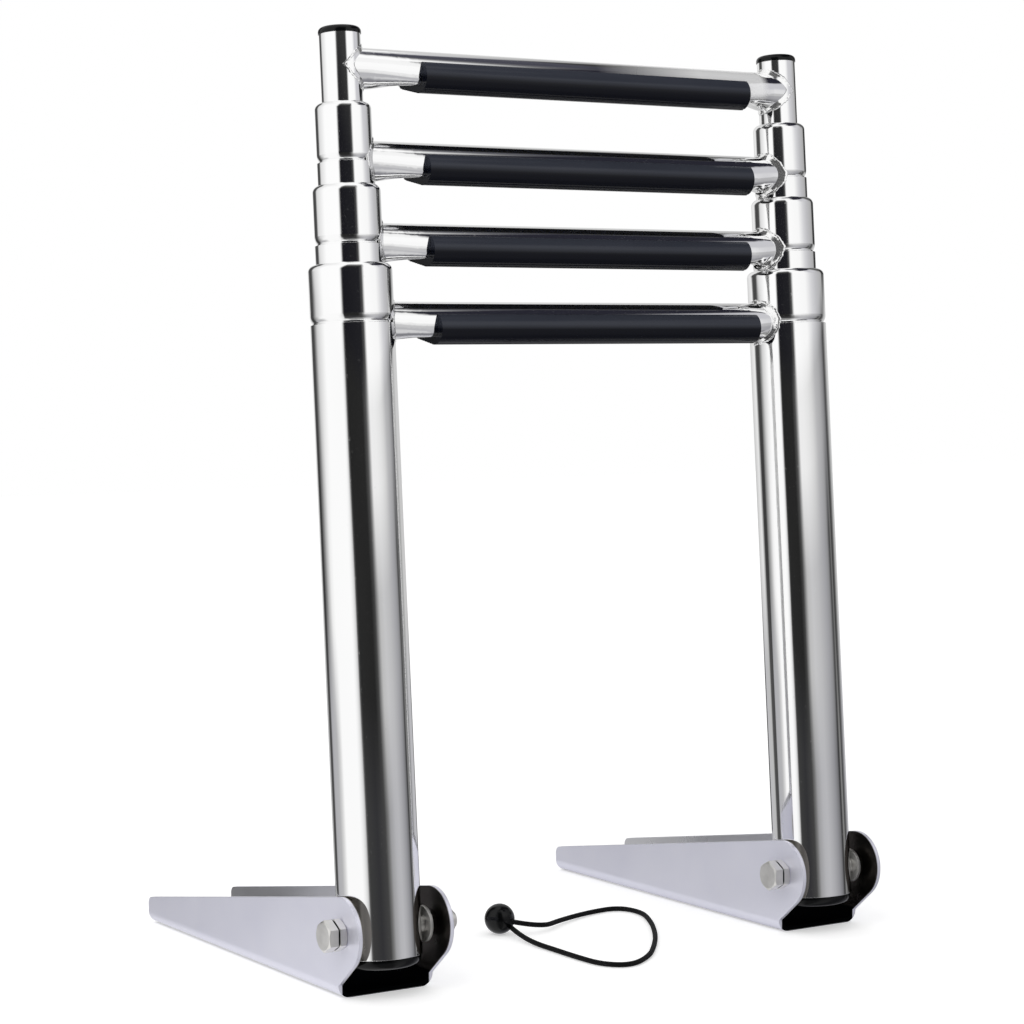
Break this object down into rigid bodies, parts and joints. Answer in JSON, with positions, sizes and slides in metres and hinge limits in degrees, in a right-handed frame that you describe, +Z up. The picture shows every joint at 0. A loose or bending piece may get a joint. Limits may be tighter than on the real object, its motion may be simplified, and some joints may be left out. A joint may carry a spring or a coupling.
{
  "type": "telescopic boat ladder",
  "caption": "Telescopic over-platform boat ladder, polished tubes with black treads, closed, standing on folded hinge brackets.",
  "frame": {"origin": "on the deck, midway between the brackets and near the middle of their length", "axes": "+X along the rungs, +Y inboard along the brackets, +Z up from the deck"},
  "size_m": [0.4196, 0.2981, 0.5794],
  "materials": {
    "polished_steel": "mirror polished",
    "bracket_steel": "polished sheet",
    "fastener_steel": "satin",
    "tread_plastic": "satin, ribbed",
    "gloss_black": "glossy",
    "bush_plastic": "plain",
    "elastic_cord": "braided elastic"
  },
  "bodies": {
    "brackets": {"bracket_left": "bracket_steel", "bracket_right": "bracket_steel", "pivot_bolt_left": "fastener_steel", "pivot_bolt_right": "fastener_steel", "jam_nut_left": "fastener_steel", "jam_nut_right": "fastener_steel", "lock_nut_left": "fastener_steel", "lock_nut_right": "fastener_steel", "spacer_left": "fastener_steel", "spacer_right": "fastener_steel", "bungee_cord": "elastic_cord", "bungee_ball": "gloss_black"},
    "outer_frame": {"outer_tube_left": "polished_steel", "outer_tube_right": "polished_steel", "end_plug_left": "gloss_black", "end_plug_right": "gloss_black", "collar_bush_4_left": "bush_plastic", "collar_bush_4_right": "bush_plastic", "rung_4": "polished_steel", "tread_4": "tread_plastic"},
    "stage_3": {"tube_3_left": "polished_steel", "tube_3_right": "polished_steel", "slide_bush_3_left": "bush_plastic", "slide_bush_3_right": "bush_plastic", "collar_bush_3_left": "bush_plastic", "collar_bush_3_right": "bush_plastic", "rung_3": "polished_steel", "tread_3": "tread_plastic"},
    "stage_2": {"tube_2_left": "polished_steel", "tube_2_right": "polished_steel", "slide_bush_2_left": "bush_plastic", "slide_bush_2_right": "bush_plastic", "collar_bush_2_left": "bush_plastic", "collar_bush_2_right": "bush_plastic", "rung_2": "polished_steel", "tread_2": "tread_plastic"},
    "stage_1": {"tube_1_left": "polished_steel", "tube_1_right": "polished_steel", "slide_bush_1_left": "bush_plastic", "slide_bush_1_right": "bush_plastic", "top_cap_left": "gloss_black", "top_cap_right": "gloss_black", "rung_1": "polished_steel", "tread_1": "tread_plastic"}
  },
  "joints": [
    {"name": "ladder_fold", "type": "hinge", "parent": "brackets", "child": "outer_frame", "pos_m": [0, -0.123, 0.0395], "axis": [1, 0, 0], "range_deg": [-86, 148]},
    {"name": "stage_3_slide", "type": "slide", "parent": "outer_frame", "child": "stage_3", "axis": [0, 0.0663, 0.9978], "range_m": [0, 0.23]},
    {"name": "stage_2_slide", "type": "slide", "parent": "stage_3", "child": "stage_2", "axis": [0, 0.0663, 0.9978], "range_m": [0, 0.23]},
    {"name": "stage_1_slide", "type": "slide", "parent": "stage_2", "child": "stage_1", "axis": [0, 0.0663, 0.9978], "range_m": [0, 0.23]}
  ]
}
